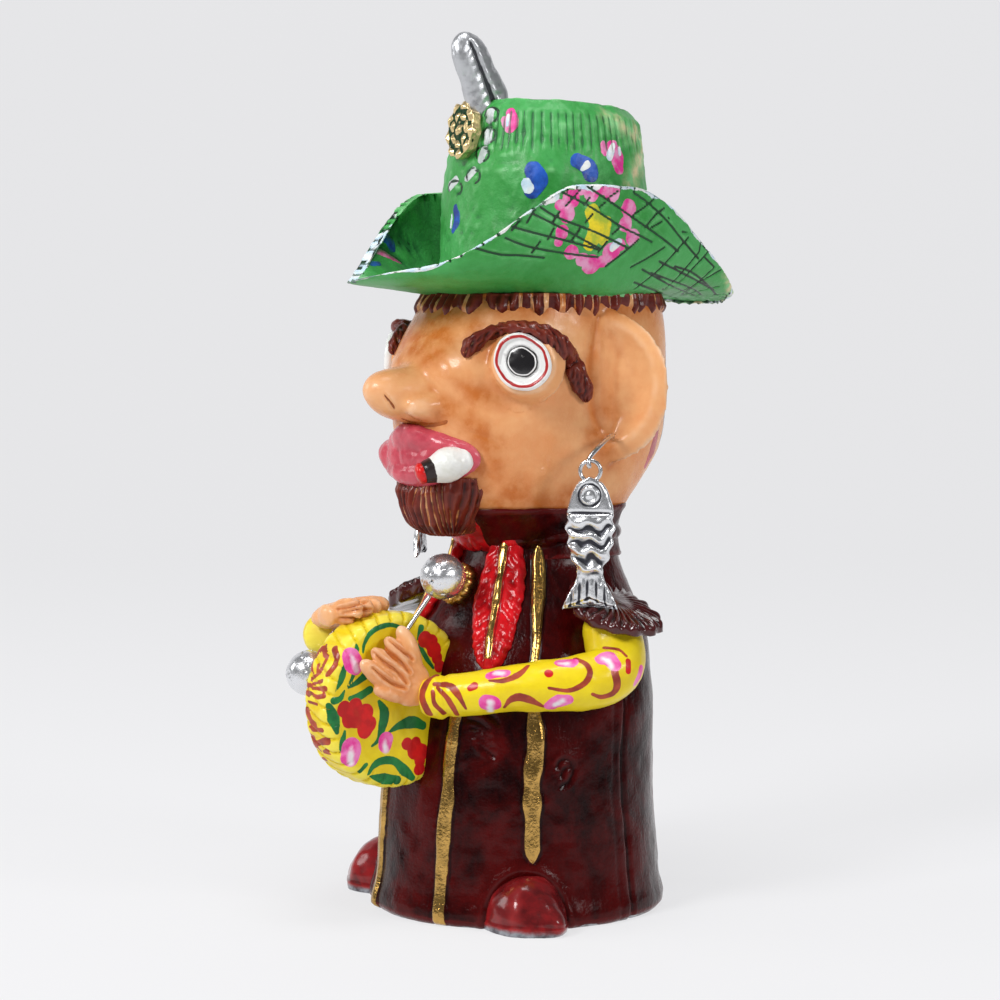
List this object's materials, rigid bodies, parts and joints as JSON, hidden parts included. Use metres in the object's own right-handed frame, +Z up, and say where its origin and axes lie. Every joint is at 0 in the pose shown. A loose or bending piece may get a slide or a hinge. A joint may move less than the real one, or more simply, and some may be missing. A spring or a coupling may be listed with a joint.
{
  "type": "ceramic drummer figurine",
  "caption": "Painted ceramic figurine of a robed drummer with a big head, wide-brimmed hat, fish earrings and a disc drum played with ball-ended sticks; stands on its flat underside.",
  "frame": {"origin": "centre of the robe's flat underside, on the surface the figurine stands on", "axes": "+Z up along the figure; the figure faces -Y; its left side is at +X"},
  "size_m": [0.1279, 0.1735, 0.2997],
  "materials": {
    "glazed_figure": "hand-painted and varnished",
    "silvered": "silver leaf paint over fired clay",
    "wire": "bright bent wire"
  },
  "bodies": {
    "root": {"figure": "glazed_figure", "drumstick_rod_left": "wire", "drumstick_rod_right": "wire", "drumstick_ball_left": "silvered", "drumstick_ball_right": "silvered", "ear_wire_left": "wire", "ear_wire_right": "wire", "fish_loop_left": "wire", "fish_loop_right": "wire", "fish_left": "silvered", "fish_right": "silvered"}
  },
  "joints": []
}
